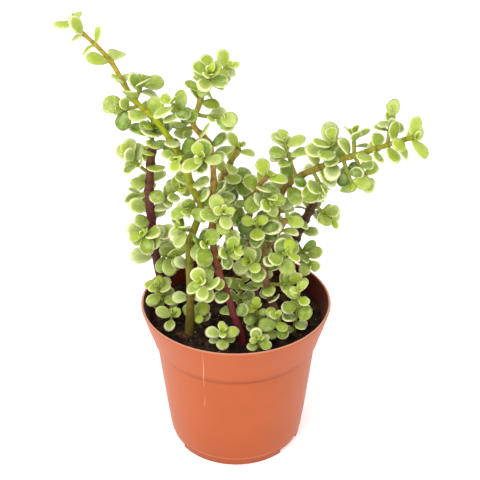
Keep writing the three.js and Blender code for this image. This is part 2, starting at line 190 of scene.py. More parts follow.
def start_material(name):
    """A material with its output node and an empty Principled shader, and its node tree."""
    material = bpy.data.materials.new(name)
    material.use_nodes = True
    tree = material.node_tree
    tree.nodes.clear()
    shader = add(tree, "BsdfPrincipled")
    add(tree, "OutputMaterial", {"Surface": shader.outputs["BSDF"]})
    return material, tree, shader


def set_shader(shader, **given):
    """Values or links for the shader's own sockets, with _ for a space in the name."""
    for key, value in given.items():
        socket = shader.inputs[key.replace("_", " ")]
        if isinstance(value, bpy.types.NodeSocket):
            shader.id_data.links.new(value, socket)
        else:
            socket.default_value = value


# %% [markdown]
# ## The pot's plastic
# The pot is injection-moulded polypropylene, coloured terracotta. Moulded polypropylene has a satin skin:
# soft broad highlights and no clear reflections. A very fine unevenness in the roughness and a faint
# orange-peel bump keep it from looking like paint. The mesh carries a shade: under 1 is painted shade for a
# corner that light hardly reaches, so it is darker and less glossy there, and over 1 is a painted highlight
# that blends an edge towards pale.

# %% Terracotta polypropylene
POT_COLOUR, POT_COLOUR_DEEP, PAINTED_HIGHLIGHT_PALE = "#B5531B", "#AF4F18", "#DDAE98"
CLOUD_SIZE = 18  # mm across the slow changes of colour
moulded_pp, tree, shader = start_material("moulded_terracotta_polypropylene")
set_shader(shader, IOR=1.49, Sheen_Weight=0.08, Specular_IOR_Level=0.35)
place = add(tree, "TexCoord").outputs["Object"]
cloud = add(tree, "TexNoise", {"Vector": place, "Scale": 1 / (CLOUD_SIZE * MM), "Detail": 3.0}).outputs["Fac"]
colour = add(tree, "ValToRGB", {"Fac": cloud}, stops=[(0.3, POT_COLOUR_DEEP), (0.7, POT_COLOUR)]).outputs["Color"]
# The mesh's shade multiplies the colour: painted shade under 1, painted highlight over 1.
tint = add(tree, "Attribute", attribute_name="tint").outputs["Color"]
colour = add(tree, "Mix", {0: 1.0, 6: colour, 7: tint}, data_type="RGBA", blend_type="MULTIPLY").outputs[2]
shade = add(tree, "SeparateColor", {"Color": tint}).outputs["Red"]
# Painted highlight: where the shade is over 1, the colour blends towards a pale tint, as on a lit edge.
painted_highlight = add(tree, "MapRange", {"Value": shade, "From Min": 1.0, "From Max": 1.5}).outputs["Result"]
colour = add(tree, "Mix", {0: painted_highlight, 6: colour, 7: linear(PAINTED_HIGHLIGHT_PALE)}, data_type="RGBA").outputs[2]
gloss = add(tree, "MapRange", {"Value": shade, "From Min": 0.7, "From Max": 1.0, "To Min": 0.05, "To Max": 0.35})
set_shader(shader, Specular_IOR_Level=gloss.outputs["Result"])
print("material", moulded_pp.name)

# %% A hairline scratch
# The scratch is where x, moved a little by noise, is within its width of one value, on the front and above
# a height. It fades in and out with the slow noise.
SCRATCH_SIDE, SCRATCH_LOW, SCRATCH_WIDTH, SCRATCH_WANDER = -17, 44, 0.17, 3  # mm
wander = add(tree, "TexNoise", {"Vector": place, "Scale": 1 / (25 * MM), "Detail": 1.0}).outputs["Fac"]
spot = add(tree, "SeparateXYZ", {"Vector": place}).outputs
limits = {"To Min": -SCRATCH_WANDER * MM, "To Max": SCRATCH_WANDER * MM}
drift = add(tree, "MapRange", {"Value": wander, **limits}).outputs["Result"]
side = add(tree, "Math", {0: spot["X"], 1: drift}, operation="ADD").outputs[0]
line = {0: side, 1: SCRATCH_SIDE * MM, 2: SCRATCH_WIDTH * MM}
scratch = add(tree, "Math", line, operation="COMPARE").outputs[0]
front = add(tree, "Math", {0: spot["Y"], 1: 0.0}, operation="LESS_THAN").outputs[0]
high = add(tree, "Math", {0: spot["Z"], 1: SCRATCH_LOW * MM}, operation="GREATER_THAN").outputs[0]
worn = add(tree, "MapRange", {"Value": cloud, "From Min": 0.36, "From Max": 0.6, "To Max": 0.7}).outputs["Result"]
for share in (front, high, worn):
    scratch = add(tree, "Math", {0: scratch, 1: share}, operation="MULTIPLY").outputs[0]
colour = add(tree, "Mix", {0: scratch, 6: colour, 7: linear("#E6A27C")}, data_type="RGBA").outputs[2]
set_shader(shader, Base_Color=colour)
print("scratch from", SCRATCH_LOW, "mm up to the rim")

# %% The moulded skin
PEEL_SIZE = 1.5  # mm between the low swells of the moulded skin
peel = add(tree, "TexNoise", {"Vector": place, "Scale": 1 / (PEEL_SIZE * MM), "Detail": 2.0})
rough = add(tree, "MapRange", {"Value": cloud, "To Min": 0.44, "To Max": 0.56})
bump = add(tree, "Bump", {"Height": peel.outputs["Fac"], "Strength": 0.05, "Distance": 0.1 * MM})
set_shader(shader, Roughness=rough.outputs["Result"], Normal=bump.outputs["Normal"])
print(len(tree.nodes), "nodes in", moulded_pp.name)

# %% [markdown]
# ## The pot
# A nursery pot is thin-walled and turned about one axis: a foot ring, a tapered wall, a small step and a
# wider collar that lets pots stack. A profile of radius and height, turned about Z, gives all of it. The
# profile runs round the plastic, outside and inside, so that the wall has its real thickness. The drain
# holes and the notches in the foot are then cut out with Blender's Boolean modifier, as a mould's pins do.

# %% The pot's profile
RIM_RADIUS, POT_HEIGHT, WALL = 52.5, 88, 1.2
FOOT_RADIUS, FLOOR = 38, 4
STEP_BOTTOM, STEP_TOP = 63.5, 68
WALL_TOP_RADIUS, COLLAR_RADIUS = 44.9, 46.9
# Each point is radius, height and shade: painted shade darkens the step, the inside and the wall towards the foot,
# and painted highlight lightens the rim and a thin line round the foot.
OUTSIDE = [
    (0, FLOOR, 1), (30, FLOOR, 1), (FOOT_RADIUS - 2.2, FLOOR, 1), (FOOT_RADIUS - 1.7, 3.6, 1),
    (FOOT_RADIUS - 1.5, 0.3, 1), (FOOT_RADIUS - 1.2, 0, 1), (FOOT_RADIUS - 0.3, 0, 1), (FOOT_RADIUS, 0.3, 0.84),
    (FOOT_RADIUS + 0.2, 4.2, 0.88), (FOOT_RADIUS + 0.45, 4.7, 1.1), (FOOT_RADIUS + 0.8, 5.2, 1.1),
    (FOOT_RADIUS + 0.95, 5.8, 0.93), (40.4, 18, 0.96), (41.9, 33, 1), (WALL_TOP_RADIUS - 0.2, STEP_BOTTOM - 2, 1),
    (WALL_TOP_RADIUS - 0.06, STEP_BOTTOM - 0.7, 0.96), (WALL_TOP_RADIUS + 0.1, STEP_BOTTOM, 0.74),
    (WALL_TOP_RADIUS + 1.3, STEP_BOTTOM + 1.7, 0.8), (COLLAR_RADIUS - 0.25, STEP_TOP - 1.6, 0.92),
    (COLLAR_RADIUS, STEP_TOP, 1), (49.6, 76.6, 1), (RIM_RADIUS - 0.35, POT_HEIGHT - 2, 1),
    (RIM_RADIUS - 0.08, POT_HEIGHT - 1, 1), (RIM_RADIUS - 0.05, POT_HEIGHT - 0.45, 1.05),
    (RIM_RADIUS - 0.4, POT_HEIGHT - 0.08, 1.15), (RIM_RADIUS - 0.8, POT_HEIGHT, 1.4),
]
# Inside, painted shade darkens the inner wall, and a painted highlight lightens the inner edge of the rim.
INSIDE = [
    (RIM_RADIUS - 1.15, POT_HEIGHT - 0.1, 1.25), (RIM_RADIUS - 1.45, POT_HEIGHT - 0.6, 0.4),
    (RIM_RADIUS - 1.8, POT_HEIGHT - 2, 0.24), (49.1, 80, 0.2), (COLLAR_RADIUS - WALL, STEP_TOP + 0.4, 0.2),
    (WALL_TOP_RADIUS - WALL, STEP_BOTTOM + 0.6, 0.3), (41.0, 38, 0.3), (FOOT_RADIUS - 0.4, FLOOR + WALL + 0.7, 0.3),
    (FOOT_RADIUS - 1, FLOOR + WALL + 0.1, 0.3), (30, FLOOR + WALL, 0.3), (0, FLOOR + WALL, 0.3),
]


def turned(profile, sides):
    """A profile of (radius, height) or (radius, height, shade) points, first and last on the axis, turned about
    Z: each point becomes a ring at x = r cos a, y = r sin a, and fans of triangles close the two ends. A painted
    shade takes more from green and blue than from red, as light between orange walls does: its powers are 1,
    1.35 and 1.7."""
    profile = np.array(profile, float)
    angle = np.linspace(0, 2 * math.pi, sides, endpoint=False)
    r, z = profile[1:-1, :1], profile[1:-1, 1:2]
    rings = np.stack([r * np.cos(angle), r * np.sin(angle), z + 0 * angle], -1).reshape(-1, 3)
    points = np.concatenate([rings, [[0, 0, profile[0, 1]], [0, 0, profile[-1, 1]]]])
    near, beside, last = np.arange(sides), (np.arange(sides) + 1) % sides, len(rings) - sides
    start_fan = np.stack([beside, near, np.full(sides, len(rings))], -1)
    end_fan = np.stack([last + near, last + beside, np.full(sides, len(rings) + 1)], -1)
    tint = np.ones((len(points), 4))
    if profile.shape[1] == 3:
        shade = np.concatenate([np.repeat(profile[1:-1, 2], sides), profile[[0, -1], 2]])
        tint[:, :3] = shade[:, None] ** (1, 1.35, 1.7)
    return part(points, [(grid_faces(len(profile) - 2, sides), 0), (start_fan, 0), (end_fan, 0)], tint=tint)


pot = build("pot_shell", turned(OUTSIDE + INSIDE, 144), [moulded_pp])
print("pot is", round(pot.dimensions.x / MM, 1), "mm across")

# %% Cut the drain holes and foot notches
DRAIN_RADIUS, DRAIN_CIRCLE, DRAIN_COUNT = 4, 23, 6
NOTCH_ANGLES, NOTCH_WIDTH = (55, 175, 295), 17
ring_angle = 2 * math.pi * np.arange(DRAIN_COUNT) / DRAIN_COUNT
centres = [(0, 0), *zip(DRAIN_CIRCLE * np.cos(ring_angle), DRAIN_CIRCLE * np.sin(ring_angle))]
pin = turned([(0, 1), (DRAIN_RADIUS, 1), (DRAIN_RADIUS, 8), (0, 8)], 32)
pins = [{**pin, "points": pin["points"] + (x, y, 0)} for x, y in centres]
block = np.array([(x, y, z) for z in (-1, FLOOR / 2 + 0.5) for x, y in ((-1, -1), (1, -1), (1, 1), (-1, 1))])
block = block * (NOTCH_WIDTH / 2, 4, 1) - (0, FOOT_RADIUS, 0)
for turn in np.radians(NOTCH_ANGLES):
    spin = np.array([[math.cos(turn), math.sin(turn), 0], [-math.sin(turn), math.cos(turn), 0], [0, 0, 1]])
    sides = np.array([(0, 3, 2, 1), (4, 5, 6, 7), (0, 1, 5, 4), (1, 2, 6, 5), (2, 3, 7, 6), (3, 0, 4, 7)])
    pins.append(part(block @ spin, [(sides, 0)]))
cutter = build("cutter", merge(pins), [moulded_pp])
cut = pot.modifiers.new("cut", "BOOLEAN")
cut.operation, cut.solver, cut.object = "DIFFERENCE", "EXACT", cutter
shape = bpy.data.meshes.new_from_object(pot.evaluated_get(bpy.context.evaluated_depsgraph_get()))
pot.modifiers.clear()
pot.data = shape
bpy.data.objects.remove(cutter)
shape.set_sharp_from_angle(angle=math.radians(50))
finish_piece(pot, "terracotta_plastic", "nursery_pot")

# %% [markdown]
# ## Potting mix
# The mix is peat and composted bark: near-black, matt and crumbly, with a few pale specks of perlite. The
# top of it is a turned surface whose height is a sum of slow swells and a few hundred small round humps.
# Loose crumbs on top are one twenty-sided lump each, pushed out of shape and scattered, because real crumbs
# have edges that a smooth surface can't show.

# %% Peat and perlite
peat, tree, shader = start_material("moist_peat_and_bark_mix")
set_shader(shader, Roughness=0.95, Specular_IOR_Level=0.25)
place = add(tree, "TexCoord").outputs["Object"]
GRAIN = 0.9  # mm between the grains of the mix
grain = add(tree, "TexNoise", {"Vector": place, "Scale": 1 / (GRAIN * MM), "Detail": 3.0, "Roughness": 0.7})
patch = add(tree, "TexNoise", {"Vector": place, "Scale": 1 / (6 * MM), "Detail": 2.0})
blend = add(tree, "Math", {0: grain.outputs["Fac"], 1: patch.outputs["Fac"]}, operation="MULTIPLY")
BROWNS = [(0.14, "#100804"), (0.27, "#2A190D"), (0.42, "#6A472A")]  # from wet peat to dry bark
peat_colour = add(tree, "ValToRGB", {"Fac": blend.outputs[0]}, stops=BROWNS).outputs["Color"]
bump = add(tree, "Bump", {"Height": grain.outputs["Fac"], "Strength": 0.8, "Distance": 0.5 * MM})
set_shader(shader, Base_Color=peat_colour, Normal=bump.outputs["Normal"])

perlite, tree, shader = start_material("expanded_perlite")
set_shader(shader, Base_Color=linear("#B9AE9C"), Roughness=0.9)
print("materials", peat.name, perlite.name)

# %% The soil bed
SOIL_HEIGHT, SOIL_EDGE, SOIL_RADIUS = 77.5, 76.6, 48.2
HUMPS = 420
hump_place = rng.uniform(-SOIL_RADIUS, SOIL_RADIUS, (HUMPS, 2))
hump_width = rng.uniform(1.0, 3.2, HUMPS)
hump_height = hump_width * rng.uniform(-0.12, 0.3, HUMPS)


def soil_top(x, y):
    """Height of the soil: its level, two slow waves, and a round hump h exp(-(d / w)^2) at each hump's place."""
    swell = 0.9 * np.sin(x / 9 + 0.4) * np.cos(y / 11) + 0.5 * np.sin(x / 4.1 + y / 5.3)
    away = np.hypot(x[:, None] - hump_place[:, 0], y[:, None] - hump_place[:, 1])
    return SOIL_HEIGHT + swell + (hump_height * np.exp(-((away / hump_width) ** 2))).sum(1)


top_rings = np.linspace(SOIL_RADIUS - 0.6, 0, 62)[:-1]
# The underside and sides lie just inside the pot, and the top starts flat.
sides_of_bed = [(0, 5.5), (36.8, 5.5), (40.8, 38), (43.5, STEP_BOTTOM + 0.4), (45.6, STEP_TOP + 0.4)]
rim_of_bed = [(SOIL_RADIUS, SOIL_EDGE - 0.4)]
bed = turned(sides_of_bed + rim_of_bed + [(r, SOIL_HEIGHT) for r in (*top_rings, 0)], 110)
spot = bed["points"]
on_top = spot[:, 2] > SOIL_HEIGHT - 0.01
inward = np.clip((SOIL_RADIUS - np.hypot(spot[:, 0], spot[:, 1])) / 3, 0, 1)
raised = SOIL_EDGE + (soil_top(spot[:, 0], spot[:, 1]) - SOIL_EDGE) * inward
spot[on_top, 2] = raised[on_top]
soil = build("soil_bed", bed, [peat])
finish_piece(soil, "potting_mix", "potting_soil")

# %% Crumbs and perlite
GOLDEN = (1 + math.sqrt(5)) / 2
LUMP = np.array([(-1, GOLDEN, 0), (1, GOLDEN, 0), (-1, -GOLDEN, 0), (1, -GOLDEN, 0)], float)
LUMP = np.concatenate([LUMP, np.roll(LUMP, 1, axis=1), np.roll(LUMP, 2, axis=1)]) / math.hypot(1, GOLDEN)
near = np.linalg.norm(LUMP[:, None] - LUMP, axis=-1)
triple = np.array([(a, b, c) for a in range(12) for b in range(a + 1, 12) for c in range(b + 1, 12)])
side = np.stack([near[triple[:, i], triple[:, (i + 1) % 3]] for i in range(3)], 1)
LUMP_FACES = triple[(side < 1.1).all(1)]
corner = LUMP[LUMP_FACES]
inside_out = (np.cross(corner[:, 1] - corner[:, 0], corner[:, 2] - corner[:, 0]) * corner[:, 0]).sum(1) < 0
LUMP_FACES[inside_out] = LUMP_FACES[inside_out][:, ::-1]


def lumps(count, small, large, reach):
    """Scattered crumbs: each is a twenty-sided ball, its corners pushed in and out, squeezed along its own axes,
    turned by a random frame (two random vectors made square to each other), with its middle 0.3 of its size
    above the soil."""
    size = small + (large - small) * rng.random(count) ** 3
    squeeze = rng.uniform(0.55, 1, (count, 1, 3)) * rng.uniform(0.8, 1.15, (count, 12, 1))
    first = rng.normal(size=(count, 3))
    first /= np.linalg.norm(first, axis=1, keepdims=True)
    second = np.cross(first, rng.normal(size=(count, 3)))
    second /= np.linalg.norm(second, axis=1, keepdims=True)
    turn = np.stack([first, second, np.cross(first, second)], 1)
    radius, angle = reach * np.sqrt(rng.random(count)), rng.uniform(0, 2 * math.pi, count)
    x, y = radius * np.cos(angle), radius * np.sin(angle)
    middle = np.stack([x, y, soil_top(x, y) + 0.3 * size], -1)
    points = (LUMP * squeeze * size[:, None, None]) @ turn + middle[:, None]
    faces = LUMP_FACES + 12 * np.arange(count)[:, None, None]
    return part(points.reshape(-1, 3), [(faces.reshape(-1, 3), 0)])


crumbs = build("soil_crumbs", lumps(900, 0.45, 2.1, SOIL_RADIUS - 2.2), [peat], smooth=False)
finish_piece(crumbs, "potting_mix")
grains = build("perlite_grains", lumps(34, 0.35, 0.9, SOIL_RADIUS - 3), [perlite], smooth=False)
finish_piece(grains, "potting_mix")

# %% [markdown]
# ## The plan of the plant
# Elephant bush grows like a zigzag of forks: leaves sit in opposite pairs, each pair turned a quarter from
# the last, and short side shoots leave the stem just above a pair. So each cutting is a route, its leaf
# pairs and its side shoots. The numbers are the ones the CAD model was drawn from, in mm, so that the finer
# plant lies exactly where the solid one does.

# %% The cuttings
# route: points of the stem from its buried end upwards. pairs: (share of the stem's length, leaf length,
# turn). shoots: (share, reach dx, dy, dz, number of leaf pairs, leaf length, turn in degrees).
CUTTINGS = {
    "left": {
        "radii": (2.5, 2.1),
        "route": [(-37, 13, 60), (-40, 14, 80), (-44, 14, 101), (-46, 12, 133), (-46, 11, 150), (-44, 9, 167),
                  (-43, 8, 175)],
        "pairs": [(0.42, 13, 85), (0.5, 11, 30), (0.56, 12, 0), (0.62, 11, 80), (0.67, 12, 20), (0.77, 11.5, 75),
                  (0.81, 11, 0), (0.91, 12, 60), (0.975, 11, 20)],
        "shoots": [(0.98, 1, 0, 14, 5, 12.8, 10), (0.86, -10, -4, 13, 5, 10.7, 40), (0.74, -8, 10, -2, 4, 10.7, 70),
                   (0.72, 17, -5, 10, 5, 9.6, 15), (0.56, -4, -10, 3, 5, 12.8, 30), (0.43, 11, -4, 0, 5, 11.8, 30)],
    },
    "arching": {
        "radii": (2.1, 0.9),
        "route": [(-26, -21, 58), (-25, -20, 80), (-24, -17, 105), (-24, -12, 128), (-18, -6, 147),
                  (-22, -3, 156), (-27, 0, 171), (-38, 6, 187), (-52, 14, 199), (-64, 24, 216), (-78, 31, 228),
                  (-83, 34, 233)],
        "pairs": [(0.2, 9, 20), (0.29, 9, 60), (0.34, 10, 0), (0.42, 11, 10), (0.46, 11, 80), (0.5, 12, 60),
                  (0.55, 11, 10), (0.58, 12, 60), (0.62, 12, 30), (0.68, 13, 80), (0.71, 13, 10), (0.755, 11, 60),
                  (0.8, 11, 50), (0.865, 12, 0), (0.92, 11, 80), (0.955, 12, 50), (0.99, 10, 0)],
        "shoots": [(0.735, -10, -6, 0, 4, 11.8, 20), (0.75, 4, 5, 10, 5, 12.8, 45), (0.58, -1, -12, 3, 5, 12.5, 80),
                   (0.47, -4, -11, -4, 4, 10.7, 0), (0.38, -7, -8, 6, 4, 11.8, 30), (0.36, 8, -10, 2, 4, 11.8, 60)],
    },
    "centre": {
        "radii": (1.9, 1.2),
        "route": [(5, -29, 58), (3, -28, 80), (-3, -25, 101), (-9, -20, 118), (-12, -14, 136), (-11, -7, 160),
                  (-13, 0, 179), (-21, 3, 189), (-18, 5, 199), (-14, 7, 211), (-11, 8, 216)],
        "pairs": [(0.22, 9, 80), (0.3, 10, 30), (0.37, 10, 0), (0.42, 10, 60), (0.46, 11, 70), (0.5, 11, 0),
                  (0.57, 12, 20), (0.6, 11, 80), (0.64, 12, 0), (0.71, 13, 0), (0.75, 11, 80), (0.79, 11, 70),
                  (0.845, 11, 10), (0.9, 11, 20), (0.93, 10, 90), (0.96, 10, 30), (0.99, 9, 60)],
        "shoots": [(0.97, 10, 6, 4, 5, 10.7, 0), (0.94, 3, -8, 10, 5, 11, 50), (0.83, -10, -6, 13, 5, 11.8, 10),
                   (0.86, 14, -6, 1, 5, 11.2, 75), (0.82, -12, 11, -4, 4, 11.8, 40), (0.7, -5, -11, 7, 4, 12.8, 20),
                   (0.52, 6, -11, 11, 5, 10.7, 0), (0.41, 10, -8, 10, 5, 10.7, 55), (0.32, -11, -11, 8, 5, 10.7, 30)],
    },
    "back": {
        "radii": (2.2, 1.3),
        "route": [(3, 30, 58), (2, 29, 80), (-2, 26, 110), (-7, 24, 134), (-9, 22, 144), (-5, 19, 157),
                  (2, 15, 172)],
        "pairs": [(0.3, 10, 0), (0.38, 10, 70), (0.46, 11, 10), (0.54, 11, 80), (0.61, 11, 20), (0.69, 12, 80),
                  (0.76, 11, 10), (0.83, 11, 70), (0.9, 11, 20), (0.98, 10, 80)],
        "shoots": [(0.75, 13, -5, 7, 5, 10.7, 30), (0.64, 13, -7, 5, 5, 11.8, 60), (0.46, 11, -5, 8, 4, 9.6, 0),
                   (0.57, -11, 12, 10, 5, 11.8, 45)],
    },
    "right": {
        "radii": (2.1, 1),
        "route": [(17, 25, 58), (18, 24, 80), (21, 21, 110), (23, 16, 138), (29, 12, 153), (47, 4, 167),
                  (65, -8, 179), (79, -16, 188), (85, -21, 192)],
        "pairs": [(0.28, 10, 20), (0.36, 11, 70), (0.43, 11, 0), (0.49, 12, 70), (0.55, 12, 60), (0.61, 11, 0),
                  (0.67, 12, 80), (0.73, 12, 30), (0.785, 11, 80), (0.84, 11, 0), (0.87, 10, 30), (0.91, 11, 60),
                  (0.935, 11, 80), (0.965, 11.5, 0), (0.99, 11, 70)],
        "shoots": [(0.59, -7, 5, 19, 5, 11.8, 20), (0.69, 3, -4, 15, 5, 13.9, 70), (0.65, 5, -11, -6, 4, 13.9, 35),
                   (0.76, 5, -5, -12, 5, 11.8, 10), (0.8, 9, 4, -15, 4, 9.6, 60), (0.8, 0, 7, 9, 4, 9.6, 0),
                   (0.91, 2, 4, 15, 5, 9.6, 40), (0.42, -7, 12, 10, 5, 10.7, 15)],
    },
    "stub": {
        "radii": (2.4, 2.2),
        "route": [(25, 28, 62), (29, 29, 80), (34, 26, 110), (39, 23, 126), (44, 21, 138)],
        "pairs": [(0.45, 10, 10), (0.55, 11, 60), (0.64, 10, 20), (0.73, 11, 80), (0.82, 10, 10), (0.9, 10.5, 70)],
        "shoots": [(0.97, 10, -3, -8, 5, 10.2, 20), (0.62, 8, -12, -8, 5, 10.7, 50), (0.82, 6, 11, 8, 5, 10.7, 0)],
    },
    "forked": {
        "radii": (1.9, 1.5),
        "route": [(24, -11, 60), (23, -10, 80), (17, -8, 100), (15, -4, 118), (20, -1, 126), (27, 2, 137)],
        "pairs": [(0.4, 9.5, 40), (0.5, 10, 80), (0.6, 11, 0), (0.68, 11, 60), (0.76, 11, 0), (0.84, 12, 70),
                  (0.91, 11, 40), (0.98, 10, 20)],
        "shoots": [(0.77, -6, -5, 17, 5, 11.8, 40), (0.7, 12, -10, 8, 4, 12.8, 0), (0.66, -8, -10, 6, 4, 11.8, 65),
                   (0.52, 16, -2, 2, 5, 10.7, 20)],
    },
    "slim": {
        "radii": (1.7, 1.1),
        "route": [(12, 17, 58), (11, 15, 80), (9, 12, 105), (7, 9, 130), (11, 4, 152), (17, 2, 162)],
        "pairs": [(0.36, 10, 0), (0.43, 10, 80), (0.5, 11, 30), (0.57, 11, 80), (0.65, 11, 10), (0.73, 12, 70),
                  (0.8, 11, 0), (0.87, 11, 80), (0.92, 12, 20), (0.98, 11, 70)],
        "shoots": [(0.86, 8, -10, 2, 4, 12.8, 30)],
    },
}
# Young cuttings: where they leave the soil, reach above it, number of leaf pairs, leaf length, turn.
YOUNG = [
    (-36, 5, -7, -6, 19, 6, 11, 20), (-19, -12, -4, -5, 10, 4, 10, 60), (-7, -31, 0, -4, 12, 4, 9, 0),
    (12, -36, 0, -2, 9, 3, 8, 40), (31, -20, 2, -5, 31, 7, 10.5, 10), (24, -22, -2, -6, 17, 5, 10, 50),
    (12, -18, -1, -2, 17, 5, 10.5, 80), (1, 0, 3, -2, 26, 6, 10, 30), (-37, -11, 3, -2, 9, 3, 9.5, 30),
]
YOUNG_DEPTH = 10

# %% [markdown]
# ## Curves
# A stem bends smoothly through the points of its route, which is a Catmull-Rom curve. A twig is a quadratic
# Bezier curve that turns up a little on the way. Both are asked for points by share of their length, so
# the class keeps a short table that turns length into the curve's own parameter.


# %% Stems and twigs as curves
def catmull_rom(points, t):
    """Points at t in 0..1: between p1 and p2 the cubic with slopes (p2 - p0) / 2 and (p3 - p1) / 2. Beyond each
    end the route is carried on in a straight line."""
    p = np.array(points, float)
    p = np.concatenate([[2 * p[0] - p[1]], p, [2 * p[-1] - p[-2]]])
    whole = np.clip(np.asarray(t) * (len(points) - 1), 0, len(points) - 1)
    i = np.minimum(whole.astype(int), len(points) - 2)
    w = (whole - i)[:, None]
    a, b = p[i + 1], p[i + 2]
    slope_a, slope_b = 0.5 * (b - p[i]), 0.5 * (p[i + 3] - a)
    square, cube = w**2, w**3
    return a + slope_a * w + (3 * (b - a) - 2 * slope_a - slope_b) * square + (2 * (a - b) + slope_a + slope_b) * cube


def bezier(points, t):
    """Points at t: (1 - t)^2 p0 + 2 (1 - t) t p1 + t^2 p2."""
    t = np.asarray(t)[:, None]
    p0, p1, p2 = np.array(points, float)
    return (1 - t) ** 2 * p0 + 2 * (1 - t) * t * p1 + t**2 * p2


class Curve:
    """A curve asked for by share of its length, through a table of 200 short chords."""

    def __init__(self, form, points):
        self.form, self.points = form, points
        self.t = np.linspace(0, 1, 201)
        chords = np.linalg.norm(np.diff(form(points, self.t), axis=0), axis=1)
        self.so_far = np.concatenate([[0], np.cumsum(chords)])
        self.length = self.so_far[-1]

    def at(self, shares):
        """Points at the given shares of the length."""
        lengths = np.atleast_1d(np.asarray(shares, float)) * self.length
        return self.form(self.points, np.interp(lengths, self.so_far, self.t))

    def direction(self, shares):
        """Unit direction: from a hundredth of the length behind to a hundredth ahead."""
        shares = np.atleast_1d(np.asarray(shares, float))
        ahead = self.at(np.minimum(shares + 0.01, 1)) - self.at(np.maximum(shares - 0.01, 0))
        return ahead / np.linalg.norm(ahead, axis=1, keepdims=True)


# %% Every stem and twig, with its leaf pairs
TWIG_RADIUS, TWIG_TIP_RADIUS = 1.1, 0.6


class Carrier:
    """A stem or twig: name, curve, radius rule, leaf pairs, the stem it grows from, and beads along it that stand
    for its thickness when leaves look for room."""

    def __init__(self, name, curve, radius_at, pairs, parent=None):
        self.name, self.curve, self.radius_at, self.pairs, self.parent = name, curve, radius_at, pairs, parent
        share = np.linspace(0, 1, math.ceil(curve.length / 1.5) + 1)
        self.beads, self.bead_radius = curve.at(share), radius_at(share)
        self.leaves = []


def stem_rule(radii):
    """Radius of a stem: r0 + (r1 - r0) share^2."""
    return lambda share: radii[0] + (radii[1] - radii[0]) * share**2


def twig_rule(share):
    """Radius of a twig, straight from its base to its tip."""
    return TWIG_RADIUS + (TWIG_TIP_RADIUS - TWIG_RADIUS) * share


def twig_curve(start, reach):
    """Quadratic curve from start along reach, its middle point lowered by 12 % of the reach."""
    sag = np.array([0, 0, 0.12 * np.linalg.norm(reach)])
    return Curve(bezier, [start, start + 0.5 * reach - sag, start + reach])


def shoot_pairs(count, length, turn, first):
    """Leaf pairs evenly from `first` to the tip, each turned a quarter, the last one small."""
    shares = [first + (0.99 - first) * k / (count - 1) for k in range(count)]
    sizes = [0.62 if k == count - 1 else 1 - 0.1 * abs(k - 0.4 * count) for k in range(count)]
    return [(share, length * size, turn + 90 * k) for k, (share, size) in enumerate(zip(shares, sizes))]


carriers = []
for name, cutting in CUTTINGS.items():
    route = Curve(catmull_rom, cutting["route"])
    stem = Carrier(name + "_stem", route, stem_rule(cutting["radii"]), cutting["pairs"])
    carriers.append(stem)
    for i, (share, dx, dy, dz, count, length, turn) in enumerate(cutting["shoots"]):
        twig = twig_curve(stem.curve.at(share)[0], np.array([dx, dy, dz], float))
        pairs = shoot_pairs(count, length, turn, 0.45)
        carriers.append(Carrier(f"{name}_shoot_{i + 1}", twig, twig_rule, pairs, stem))
for i, (x, y, dx, dy, dz, count, length, turn) in enumerate(YOUNG):
    reach = np.array([dx, dy, dz], float)
    buried = reach * YOUNG_DEPTH / dz
    twig = twig_curve(np.array([x, y, SOIL_HEIGHT]) - buried, reach + buried)
    clear = (YOUNG_DEPTH + 5) / (YOUNG_DEPTH + dz)
    carriers.append(Carrier(f"young_cutting_{i + 1}", twig, twig_rule, shoot_pairs(count, length, turn, clear)))
print(len(carriers), "stems and twigs")

# %% [markdown]
# ## Where each leaf lies
# On the plant, leaves swing towards the light and slide past each other instead of crossing. The same rule
# as in the CAD model places them here: a leaf tries its own place, then turns and tilts, then tries again
# smaller, until it touches nothing. Its room is tested with whole arrays of points against every stem and
# every leaf already placed, which is quick enough to try thousands of places.

# %% Leaf frames
LEAF_WIDTH = 0.86  # share of the leaf's length
LEAF_THICKNESS = 0.12  # share of the leaf's length
LIGHT_BEND = 0.42  # how far a leaf swings to lie square to the light


def jitter(a, b):
    """A repeatable number between -1 and 1: the fraction of a large sine."""
    s = math.sin(a * 12.9898 + b * 78.233) * 43758.5453
    return 2 * (s - math.floor(s)) - 1


def unit(v):
    """The vector v at length one."""
    return v / math.sqrt(v @ v)


def light_on(carrier, axis):
    """Where upper faces turn: up, to the side the twig grows to, and to its tip."""
    ends = carrier.curve.at([0, 1])
    leans_back = carrier.parent and ends[1, 1] > ends[0, 1] + 6
    return unit(np.array([0, 0.7 if leans_back else -0.75, 0.8]) + 0.45 * axis)


def leaf_frame(carrier, share, length, azimuth, spread, roll):
    """A leaf's base and its three directions: along to the tip, across, and up out of its upper face."""
    axis = carrier.curve.direction(share)[0]
    light = light_on(carrier, axis)
    u = unit(np.cross(axis, (0, 0, 1)))
    out = u * math.cos(azimuth) + np.cross(axis, u) * math.sin(azimuth)
    along = axis * math.cos(spread) + out * math.sin(spread)
    along = unit(along - LIGHT_BEND * (along @ light) * light)
    flat = unit(light - (light @ along) * along)
    up = flat * math.cos(roll) + np.cross(along, flat) * math.sin(roll)
    base = carrier.curve.at(share)[0] + 0.3 * carrier.radius_at(share) * out
    return {"carrier": carrier, "base": base, "along": along, "across": np.cross(up, along), "up": up,
            "length": length, "middle": base + along * length / 2}


def half_width(share, length):
    """Half the leaf's width: an ellipse made wider towards the tip by 0.72 + 0.42 share."""
    round_part = np.sqrt(np.maximum(0, 1 - (2 * share - 1) ** 2))
    return 0.5 * LEAF_WIDTH * length * round_part * (0.72 + 0.42 * share)


def leaf_points(leaf, first):
    """Points spread over a leaf, from `first` of its length to its tip."""
    share, side = np.meshgrid(np.arange(first, 1, 0.13), np.linspace(-1, 1, 5), indexing="ij")
    share, side = share.reshape(-1, 1), side.reshape(-1, 1)
    width = half_width(share, leaf["length"])
    return leaf["base"] + leaf["along"] * share * leaf["length"] + leaf["across"] * side * width


